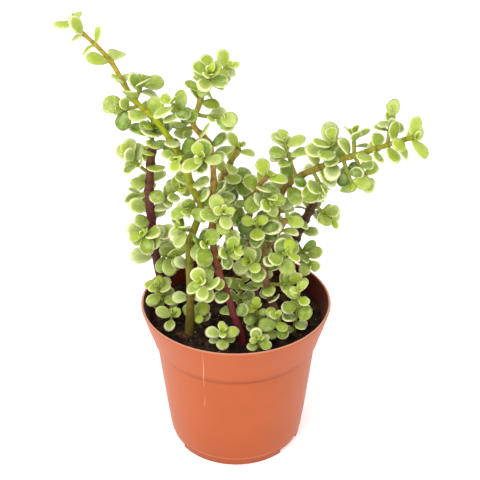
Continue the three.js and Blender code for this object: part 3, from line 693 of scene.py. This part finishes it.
# %% Room for a leaf
LEAF_CLEARANCE = 1.4  # mm between the middle planes of two leaves
STEM_CLEARANCE = 0.95  # mm between a leaf's middle plane and a stem
SOIL_CLEARANCE, RIM_CLEARANCE = 2, 3
bead_place = np.concatenate([c.beads for c in carriers])
bead_radius = np.concatenate([c.bead_radius for c in carriers]) + STEM_CLEARANCE
bead_owner = np.concatenate([np.full(len(c.beads), i) for i, c in enumerate(carriers)])


def touches(base, along, across, up, length, point, radius, first):
    """Which balls touch a leaf beyond `first` of its length: near its middle plane, and inside its outline
    grown by the ball's radius."""
    offset = point - base
    share = (offset * along).sum(-1) / length
    beside = half_width(np.minimum(share, 0.9), length) + radius
    return (
        (share >= first)
        & (share <= 1 + radius / length)
        & (np.abs((offset * up).sum(-1)) <= radius)
        & (np.abs((offset * across).sum(-1)) < beside)
    )


def hits_pot(points):
    """Whether any point is too near the soil, or the wall and rim of the pot."""
    radial, z = np.hypot(points[:, 0], points[:, 1]), points[:, 2]
    wall = RIM_RADIUS - (POT_HEIGHT - z) * 0.25 - RIM_CLEARANCE
    in_soil = (z < SOIL_HEIGHT + SOIL_CLEARANCE) & (radial < RIM_RADIUS)
    return bool((in_soil | ((z < POT_HEIGHT + RIM_CLEARANCE) & (radial > wall))).any())


def hits_stem(leaf, own, parent):
    """Whether the leaf touches a stem or twig other than its own."""
    near = np.linalg.norm(bead_place - leaf["middle"], axis=1) <= leaf["length"]
    near &= bead_owner != own
    first = np.where(bead_owner[near] == parent, 0.12, 0)
    frame_of_leaf = (leaf[k] for k in ("base", "along", "across", "up", "length"))
    return bool(touches(*frame_of_leaf, bead_place[near], bead_radius[near], first).any())


def hits_leaf(leaf, points, placed):
    """Whether the leaf's plane meets a placed leaf's points or a placed leaf's plane meets this leaf's points. Two
    leaves of one twig may touch near their bases."""
    for other in placed:
        apart = math.dist(other["middle"], leaf["middle"])
        if apart > 0.5 * (leaf["length"] + other["length"]) + LEAF_CLEARANCE:
            continue
        sisters = other["carrier"] is leaf["carrier"]
        for blade, cloud in ((leaf, other["points"]), (other, points)):
            if sisters:
                cloud = cloud[np.linalg.norm(cloud - other["base"], axis=1) >= 0.34 * other["length"]]
            frame_of_leaf = (blade[k] for k in ("base", "along", "across", "up", "length"))
            if touches(*frame_of_leaf, cloud, LEAF_CLEARANCE, 0.34 if sisters else 0).any():
                return True
    return False


# %% Place the leaves
TURNS = [(0, 0), (12, 0), (-12, 0), (0, 16), (0, -16), (20, 12), (-20, -12), (26, -18), (-26, 18), (36, 0),
         (-36, 0), (40, 24), (-40, -24), (14, 30), (14, -30), (-18, 34), (-18, -34)]
SIZES = (1, 0.8, 0.62)


def find_room(own, pair, side, placed, index):
    """The first free place for a leaf of this pair, or None."""
    carrier = carriers[own]
    share, length, turn = carrier.pairs[pair]
    last = pair == len(carrier.pairs) - 1
    spread = (42 if last else 66) + 15 * jitter(index, 1)
    azimuth = turn + 180 * side + 12 * jitter(index, 2)
    roll = 24 * jitter(index, 3)
    full = length * (1 + 0.1 * jitter(index, 4))
    parent = carriers.index(carrier.parent) if carrier.parent else -1
    for size in SIZES:
        for tilt, yaw in TURNS:
            angles = (math.radians(a) for a in (azimuth + yaw, spread + tilt, roll))
            leaf = leaf_frame(carrier, share, full * size, *angles)
            points = leaf_points(leaf, 0.2)
            if hits_pot(points) or hits_stem(leaf, own, parent) or hits_leaf(leaf, points, placed):
                continue
            return leaf
    return None


leaves, leaf_number = [], 0
for own, carrier in enumerate(carriers):
    for pair in range(len(carrier.pairs)):
        for side in (0, 1):
            leaf_number += 1
            leaf = find_room(own, pair, side, leaves, leaf_number)
            if leaf is None:
                continue
            leaf["points"] = leaf_points(leaf, 0.1)
            leaf["youth"] = max(0.0, (pair + 1) / len(carrier.pairs) - 0.55) / 0.45
            leaves.append(leaf)
            carrier.leaves.append(leaf)
print(len(leaves), "leaves of", leaf_number)

# %% [markdown]
# ## Stems and twigs
# A stem is a tube along its curve: rings of points round each place on the curve, with a radius that
# swells a little at every leaf pair, where the plant has a node, and wanders slightly between them. Old
# stems are reddish brown, younger ones ochre to olive, and the newest growth is green. Those colours are
# carried by the points of the mesh, so that one bark material serves every cutting.

# %% Stem colours
# From the soil to the tip of each cutting.
BARK_TINTS = {
    "left": ("#4E1E28", "#5C2430", "#662E30", "#7C5030"),
    "arching": ("#5E4A22", "#746822", "#8E9020", "#A8AC1C", "#B6C60E", "#B4A02C", "#ACA034"),
    "centre": ("#641420", "#70202A", "#8C4630", "#BA943C", "#B8A23C", "#A0A22C"),
    "back": ("#5A2C22", "#74402A", "#A87E3A", "#B2A040"),
    "right": ("#664028", "#86602E", "#947030", "#9C982C", "#A0A42A"),
    "stub": ("#43281E", "#4E3022", "#5E3C26"),
    "forked": ("#6A4232", "#946E4C", "#AE9654"),
    "slim": ("#8A5A48", "#A8745C", "#A8884C"),
}
YOUNG_TINTS = ("#8A6A3C", "#9AA03C", "#A8B848")
TWIG_TINTS = ("#93903A", "#9EA83C", "#A9BC48")


def tint_at(stops, share):
    """Linear colours at each share, straight between evenly spaced stops."""
    colours = np.array([linear(stop) for stop in stops])
    places = np.linspace(0, 1, len(stops))
    return np.stack([np.interp(share, places, colours[:, i]) for i in range(4)], -1)


# %% A tube along a curve
NODE_SWELL, NODE_LENGTH = 0.26, 1.5  # share of the radius, and mm along the stem
STEM_FLARE, FLARE_HEIGHT = 0.28, 9  # how much wider a stem is at the soil, and mm over which that fades
STEM_SIDES, STEM_STEP, TWIG_SIDES, TWIG_STEP = 16, 0.9, 9, 1.0  # points round a ring, and mm between rings
SCAR_DARK, SCAR_LENGTH = 0.4, 0.7  # the dark ring that a pair of leaves leaves behind, and its mm
LUMPY = 0.02  # share of the radius that wanders between the nodes


def tube(carrier, stops, sides, step, flare=0.0):
    """Points c + r (u cos a + v sin a), with u and v square to the curve and r the radius rule times
    1 + swell exp(-((s - s_node) / l)^2) at each leaf pair, times 1 + LUMPY (two sines of a and s). Near the soil
    r is 1 + flare times wider, fading as exp(-(height / 9 mm)^2). The last millimetre closes as a quarter circle."""
    curve = carrier.curve
    rings = math.ceil(curve.length / step) + 1
    share = np.linspace(0, 1, rings)
    run = share * curve.length
    centre, ahead = curve.at(share), curve.direction(share)
    u = np.cross(ahead, (0.1, 1, 0))
    u /= np.linalg.norm(u, axis=1, keepdims=True)
    v = np.cross(ahead, u)
    nodes = np.array([pair[0] for pair in carrier.pairs]) * curve.length
    swell = NODE_SWELL * np.exp(-(((run[:, None] - nodes) / NODE_LENGTH) ** 2)).sum(1)
    above = np.maximum(centre[:, 2] - SOIL_HEIGHT, 0)
    radius = carrier.radius_at(share) * (1 + swell) * (1 + flare * np.exp(-((above / FLARE_HEIGHT) ** 2)))
    from_tip = (curve.length - run) / radius
    radius = radius * np.sqrt(1 - (1 - np.minimum(from_tip, 1)) ** 2)
    radius[-1] = 0.1 * radius.max()
    angle = np.linspace(0, 2 * math.pi, sides, endpoint=False)
    seed = 7.0 * centre[0, 0]
    waves = np.sin(3 * angle + run[:, None] / 2.3 + seed) + np.sin(2 * angle - run[:, None] / 4.1 + 2 * seed)
    r = (radius[:, None] * (1 + LUMPY * waves))[..., None]
    points = centre[:, None] + r * (u[:, None] * np.cos(angle)[:, None] + v[:, None] * np.sin(angle)[:, None])
    points = np.concatenate([points.reshape(-1, 3), centre[:1], centre[-1:]])
    near, beside, last = np.arange(sides), (np.arange(sides) + 1) % sides, (rings - 1) * sides
    start = np.stack([beside, near, np.full(sides, rings * sides)], -1)
    end = np.stack([last + near, last + beside, np.full(sides, rings * sides + 1)], -1)
    ring_share = np.concatenate([np.repeat(share, sides), [0, 1]])
    around = np.concatenate([np.tile(angle / (2 * math.pi), rings), [0, 0]])
    uv = np.stack([around, ring_share * curve.length / 10], -1)
    faces = [(grid_faces(rings, sides), 0), (start, 0), (end, 0)]
    tint = tint_at(stops, ring_share)
    scar = np.exp(-(((run[:, None] - nodes - NODE_LENGTH) / SCAR_LENGTH) ** 2)).sum(1)
    tint[: rings * sides, :3] *= 1 - SCAR_DARK * np.repeat(np.minimum(scar, 1), sides)[:, None]
    return part(points, faces, uv, tint)


# %% [markdown]
# ## Bark and twig skin
# Young portulacaria bark is smooth and slightly waxy, stretched over a fleshy stem, with fine lengthwise
# wrinkles and pale flecks. Its colour comes from the mesh; noise stretched along the stem adds the wrinkles
# and a painted shade in their furrows.

# %% Bark
bark, tree, shader = start_material("smooth_succulent_bark")
set_shader(shader, Specular_IOR_Level=0.3)
tint = add(tree, "Attribute", attribute_name="tint").outputs["Color"]
place = add(tree, "TexCoord").outputs["Object"]
along_stem = add(tree, "Mapping", {"Vector": place, "Scale": (1, 1, 0.25)}).outputs["Vector"]
WRINKLE = 1.1  # mm across one wrinkle, drawn coarser than life so that it shows
wrinkle = add(tree, "TexNoise", {"Vector": along_stem, "Scale": 1 / (WRINKLE * MM), "Detail": 3.0})
RIDGES = [(0.3, "#BDB09A"), (0.7, "#FFFFFF")]  # painted shade: the furrows are painted darker than the ridges
shade = add(tree, "ValToRGB", {"Fac": wrinkle.outputs["Fac"]}, stops=RIDGES).outputs["Color"]
mixed = add(tree, "Mix", {0: 0.8, 6: tint, 7: shade}, data_type="RGBA", blend_type="MULTIPLY").outputs[2]
rough = add(tree, "MapRange", {"Value": wrinkle.outputs["Fac"], "To Min": 0.45, "To Max": 0.7})
bump = add(tree, "Bump", {"Height": wrinkle.outputs["Fac"], "Strength": 0.35, "Distance": 0.2 * MM})
set_shader(shader, Base_Color=mixed, Roughness=rough.outputs["Result"], Normal=bump.outputs["Normal"])
print("material", bark.name)

# %% [markdown]
# ## Variegated leaf
# The leaves are small water stores: plump, waxy and a little see-through, green in the middle with a cream
# margin where the cells have no chlorophyll. Round the middle the green is greyer, it has faint lengthwise
# streaks and pale clouds, and the newest leaves are yellow-green. Each leaf's mesh carries its own flat map,
# a disc of radius one, so the distance from the middle of that disc says where the cream begins. The mesh
# also carries how light each leaf is (a chance tone plus painted shade where leaves crowd), how young and how
# wide-margined it is.

# %% Leaf flesh
leaf_skin, tree, shader = start_material("waxy_variegated_leaf")
set_shader(shader, Specular_IOR_Level=0.45, IOR=1.42, Subsurface_Weight=0.15, Subsurface_Scale=0.7 * MM)
set_shader(shader, Subsurface_Radius=(0.7, 1.0, 0.25), Roughness=0.4)
blade = add(tree, "UVMap", uv_map="UVMap").outputs["UV"]
disc = add(tree, "VectorMath", {0: blade}, operation="LENGTH").outputs["Value"]
place = add(tree, "TexCoord").outputs["Object"]
traits = add(tree, "Attribute", attribute_name="leaf").outputs["Vector"]
traits = add(tree, "SeparateXYZ", {"Vector": traits}).outputs
tone, youth, margin_shift = traits["X"], traits["Y"], traits["Z"]
print("material", leaf_skin.name)

# %% The green of a leaf
# From a leaf in deep shade to one in full light.
GREENS = [(0.0, "#3E5A08"), (0.3, "#84A01A"), (0.65, "#B8C64C"), (1.0, "#DADEA6")]
INNER_GREEN, CLOUD_GREEN, NEW_GREEN = "#7F9640", "#C6D292", "#B0C428"
STREAK, STREAKS = 2.0, [(0.3, "#C6D2A8"), (0.6, "#FFFFFF")]  # mm between lengthwise streaks, and their tints
MOTTLE = 3.4  # mm across the pale clouds
green = add(tree, "ValToRGB", {"Fac": tone}, stops=GREENS).outputs["Color"]
streaks = add(tree, "Mapping", {"Vector": blade, "Scale": (1.2, 10 / STREAK, 1)}).outputs["Vector"]
streak = add(tree, "TexNoise", {"Vector": streaks, "Scale": 1.0, "Detail": 2.0}).outputs["Fac"]
streak = add(tree, "ValToRGB", {"Fac": streak}, stops=STREAKS).outputs["Color"]
green = add(tree, "Mix", {0: 1.0, 6: green, 7: streak}, data_type="RGBA", blend_type="MULTIPLY").outputs[2]
mottle = add(tree, "TexNoise", {"Vector": place, "Scale": 1 / (MOTTLE * MM), "Detail": 3.0, "Roughness": 0.6})
inner = {"Value": disc, "From Min": 0.85, "From Max": 0.35, "To Max": 0.65}
cloudy = {"Value": mottle.outputs["Fac"], "From Min": 0.48, "From Max": 0.7, "To Max": 0.6}
young = {"Value": youth, "To Max": 0.65}
for share, colour in ((inner, INNER_GREEN), (cloudy, CLOUD_GREEN), (young, NEW_GREEN)):
    share = add(tree, "MapRange", share).outputs["Result"]
    green = add(tree, "Mix", {0: share, 6: green, 7: linear(colour)}, data_type="RGBA").outputs[2]
print("greens blended:", len(GREENS), "by light, then", INNER_GREEN, CLOUD_GREEN, NEW_GREEN)

# %% The cream margin
CREAM, RAGGED = "#EAEAB0", 2.2  # the margin's colour, and mm between the steps of its uneven border
ragged = add(tree, "TexNoise", {"Vector": place, "Scale": 1 / (RAGGED * MM), "Detail": 2.0}).outputs["Fac"]
edge = add(tree, "MapRange", {"Value": ragged, "To Min": -0.14, "To Max": 0.14}).outputs["Result"]
for more in (disc, margin_shift):
    edge = add(tree, "Math", {0: more, 1: edge}, operation="ADD").outputs[0]
margin = add(tree, "MapRange", {"Value": edge, "From Min": 0.76, "From Max": 0.98}, interpolation_type="SMOOTHSTEP")
skin = {0: margin.outputs["Result"], 6: green, 7: linear(CREAM)}
set_shader(shader, Base_Color=add(tree, "Mix", skin, data_type="RGBA").outputs[2])
print(len(tree.nodes), "nodes in", leaf_skin.name)

# %% [markdown]
# ## A leaf's mesh
# One leaf is a plump lens with an egg-shaped outline: a ring on the upper face, the outline itself, a ring
# on the lower face and a point in the middle of each. Sixty-four faces are enough, because there are
# hundreds of leaves. Each leaf is then cupped and curled by its own small amount, so that no two catch the
# light alike. All leaves of a cutting are worked out together as one array.

# %% Leaves as arrays
LEAF_SIDES = 16
RINGS = np.array([(0.74, 1), (1.0, 0), (0.76, -1)])  # share of the way out, and the face: upper, edge, lower
ring_angle = np.append(np.tile(2 * math.pi * np.arange(LEAF_SIDES) / LEAF_SIDES, len(RINGS)), [0, 0])
OUT = np.append(np.repeat(RINGS[:, 0], LEAF_SIDES), [0, 0])
FACE = np.append(np.repeat(RINGS[:, 1], LEAF_SIDES), [1, -1])
DISC = np.stack([OUT * np.cos(ring_angle), OUT * np.sin(ring_angle)], -1)
ring = np.arange(LEAF_SIDES)
next_one = (ring + 1) % LEAF_SIDES
TOP_FAN = np.stack([ring, next_one, np.full(LEAF_SIDES, 3 * LEAF_SIDES)], -1)
LOW_FAN = np.stack([2 * LEAF_SIDES + next_one, 2 * LEAF_SIDES + ring, np.full(LEAF_SIDES, 3 * LEAF_SIDES + 1)], -1)
BANDS = grid_faces(3, LEAF_SIDES)[:, ::-1]
print("a leaf has", len(TOP_FAN) + len(LOW_FAN) + len(BANDS), "faces")


def leaf_meshes(group, material_number):
    """All the leaves of a group as one part. In its own frame a leaf of length L is x = share L, y = half its
    width times the disc's side times 0.64 + 0.54 share, narrowed at the neck by 1 - 0.5 exp(-share / 0.2) and at
    the tip by 1 - point share^4, and z = +-0.5 thickness L sqrt(1 - out^2.6) + cup y^2 / L
    - curl (share - 0.35)^2 L."""
    length = np.array([leaf["length"] for leaf in group])[:, None]
    base, along, across, up = (np.array([leaf[k] for leaf in group]) for k in ("base", "along", "across", "up"))
    cup, curl = rng.uniform(-0.1, 0.55, (2, len(group), 1))
    wide, point = rng.uniform(0.84, 1.06, (len(group), 1)), rng.uniform(0, 0.3, (len(group), 1))
    share = 0.5 + 0.5 * DISC[:, 0]
    neck = 1 - 0.5 * np.exp(-share / 0.2)
    x = share * length
    y = 0.5 * LEAF_WIDTH * wide * length * DISC[:, 1] * (0.64 + 0.54 * share) * neck * (1 - point * share**4)
    bulge = 0.5 * LEAF_THICKNESS * np.sqrt(1 - OUT**2.6) * FACE
    z = bulge * length + cup * y**2 / length - curl * (share - 0.35) ** 2 * length
    points = base[:, None] + x[..., None] * along[:, None]
    points = points + y[..., None] * across[:, None] + z[..., None] * up[:, None]
    step = len(DISC) * np.arange(len(group))[:, None, None]
    faces = [((block + step).reshape(-1, block.shape[1]), material_number) for block in (TOP_FAN, LOW_FAN, BANDS)]
    tone = np.clip([leaf["tone"] for leaf in group], 0, 1)
    traits = np.stack([tone, [leaf["youth"] for leaf in group], rng.normal(0, 0.07, len(group))], -1)
    return part(points.reshape(-1, 3), faces, np.tile(DISC, (len(group), 1)), leaf=np.repeat(traits, len(DISC), 0))


# %% Buds at the tips
BUDS = ((4.2, 0.6), (4.2, 0.6), (3.0, 0.35), (3.0, 0.35))  # length in mm, and lean from the tip's direction


def tip_buds(carrier):
    """Two pairs of tiny new leaves that close over the growing tip."""
    tip, axis = carrier.curve.at(1)[0], carrier.curve.direction(1)[0]
    u = unit(np.cross(axis, (0.3, 0.2, 1)))
    v = np.cross(axis, u)
    turn = rng.uniform(0, math.pi)
    made = []
    for k, (length, spread) in enumerate(BUDS):
        angle = turn + math.pi * k + (math.pi / 2 if k > 1 else 0)
        out = math.cos(angle) * u + math.sin(angle) * v
        along = axis * math.cos(spread) + out * math.sin(spread)
        up = axis * math.sin(spread) - out * math.cos(spread)
        made.append({"base": tip + 0.3 * out - 0.5 * axis, "along": along, "across": np.cross(up, along),
                     "up": up, "length": length, "youth": rng.uniform(0.7, 1), "tone": 0.5})
    return made


# %% Painted shade and tone of each leaf
# A leaf among many others gets painted shade, so it is darker. Each leaf, and each stem or twig as a whole, then
# differs by chance.
CROWD_REACH = 14  # mm within which other leaves count
USUAL_TONE, CROWD_SHADE, LEAF_SPREAD, TWIG_SPREAD = 0.55, 0.12, 0.25, 0.1
middles = np.array([leaf["middle"] for leaf in leaves])
crowd = (np.linalg.norm(middles[:, None] - middles, axis=-1) < CROWD_REACH).sum(1)
print("leaves near each leaf:", crowd.min(), "to", crowd.max())
crowd = (crowd - crowd.mean()) / crowd.std()
for leaf, neighbours in zip(leaves, crowd):
    # Painted shade: the more leaves are near, the darker the leaf.
    leaf["tone"] = USUAL_TONE - CROWD_SHADE * neighbours + rng.normal(0, LEAF_SPREAD)
for carrier in carriers:
    shift = rng.normal(0, TWIG_SPREAD)
    for leaf in carrier.leaves:
        leaf["tone"] += shift

# %% [markdown]
# ## The plant's pieces
# Each cutting becomes two pieces: its bark, which stands for the stem, and its foliage, the green twigs
# with all the leaves. The young cuttings have no bark yet, so they are one piece of foliage together.

# %% Build the plant
shoots_of = {name: [c for c in carriers if c.name.startswith(name + "_shoot")] for name in CUTTINGS}
for name, shoots in shoots_of.items():
    stem = next(c for c in carriers if c.name == name + "_stem")
    woody = build(name + "_bark", tube(stem, BARK_TINTS[name], STEM_SIDES, STEM_STEP, STEM_FLARE), [bark])
    finish_piece(woody, "bark", stem.name)
    twigs = [tube(twig, TWIG_TINTS, TWIG_SIDES, TWIG_STEP) for twig in shoots]
    green = [leaf for c in (stem, *shoots) for leaf in c.leaves]
    green += [leaf for c in (stem, *shoots) for leaf in tip_buds(c)]
    foliage = build(name + "_foliage", merge([*twigs, leaf_meshes(green, 1)]), [bark, leaf_skin])
    finish_piece(foliage, "leafy_shoot", *(twig.name for twig in shoots))

young = [c for c in carriers if c.name.startswith("young")]
twigs = [tube(twig, YOUNG_TINTS, TWIG_SIDES, TWIG_STEP) for twig in young]
green = [leaf for c in young for leaf in (*c.leaves, *tip_buds(c))]
foliage = build("young_foliage", merge([*twigs, leaf_meshes(green, 1)]), [bark, leaf_skin])
finish_piece(foliage, "leafy_shoot", *(twig.name for twig in young))

# %% [markdown]
# ## Floor, light and camera
# The plant stands on a plain pale table in a bright studio. White light from everywhere keeps shadows soft,
# and one large lamp from the upper left front gives the leaves and the pot their shape. The camera looks
# slightly down on the pot from the front.

# %% Floor
table_top, tree, shader = start_material("matt_white_laminate")
set_shader(shader, Base_Color=linear("#F4F4F4"), Roughness=0.9, Specular_IOR_Level=0.1)
set_shader(shader, Emission_Color=linear("#FFFFFF"), Emission_Strength=0.35)  # keeps the table near white
HALF, SUNK = 3000, 0.05  # mm: half the table's side, and how far it lies under the pot's foot
corners = np.array([(-HALF, -HALF, 0), (HALF, -HALF, 0), (HALF, HALF, 0), (-HALF, HALF, 0)], float)
floor = build("floor", part(corners - (0, 0, SUNK), [(np.array([[0, 1, 2, 3]]), 0)]), [table_top])
floor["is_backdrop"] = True
print("table", 2 * HALF * MM, "m wide")

# %% Light
world = bpy.data.worlds.new("studio")
bpy.context.scene.world = world
world.use_nodes = True
sky = world.node_tree.nodes["Background"].inputs
sky["Color"].default_value, sky["Strength"].default_value = (1, 1, 1, 1), 1.0


def soft_box(name, place, aim, size, watts):
    """A square area light at a place in metres, turned towards a point."""
    lamp = bpy.data.lights.new(name, "AREA")
    lamp.size, lamp.energy = size, watts
    made = bpy.data.objects.new(name, lamp)
    made.location = place
    made.rotation_euler = (Vector(aim) - Vector(place)).to_track_quat("-Z", "Y").to_euler()
    bpy.context.scene.collection.objects.link(made)
    print(name, watts, "W")


soft_box("key_light", (-0.55, -0.75, 1.0), (0, 0, 0.12), 0.7, 8)

# %% Camera
camera = bpy.data.objects.new("camera", bpy.data.cameras.new("camera"))
bpy.context.scene.collection.objects.link(camera)
CAMERA_PLACE, LOOKED_AT = Vector((0.00224, -0.39365, 0.34273)), Vector((0.00224, 0, 0.1247))  # metres
camera.location = CAMERA_PLACE
camera.rotation_euler = (LOOKED_AT - CAMERA_PLACE).to_track_quat("-Z", "Y").to_euler()
camera.data.sensor_width, camera.data.lens = 36, 63.15
camera.data.clip_start, camera.data.clip_end = 0.01, 20
bpy.context.scene.camera = camera
bpy.context.scene.view_settings.view_transform = "Standard"
print("camera", round((LOOKED_AT - CAMERA_PLACE).length, 3), "m from the plant's middle")

# %% [markdown]
# The finer plant should fill the same box as the solid one. Its box is printed.

# %% Print the sizes
low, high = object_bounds()
print("visual box in mm:", [round(v / MM, 1) for v in (*low, *high)])
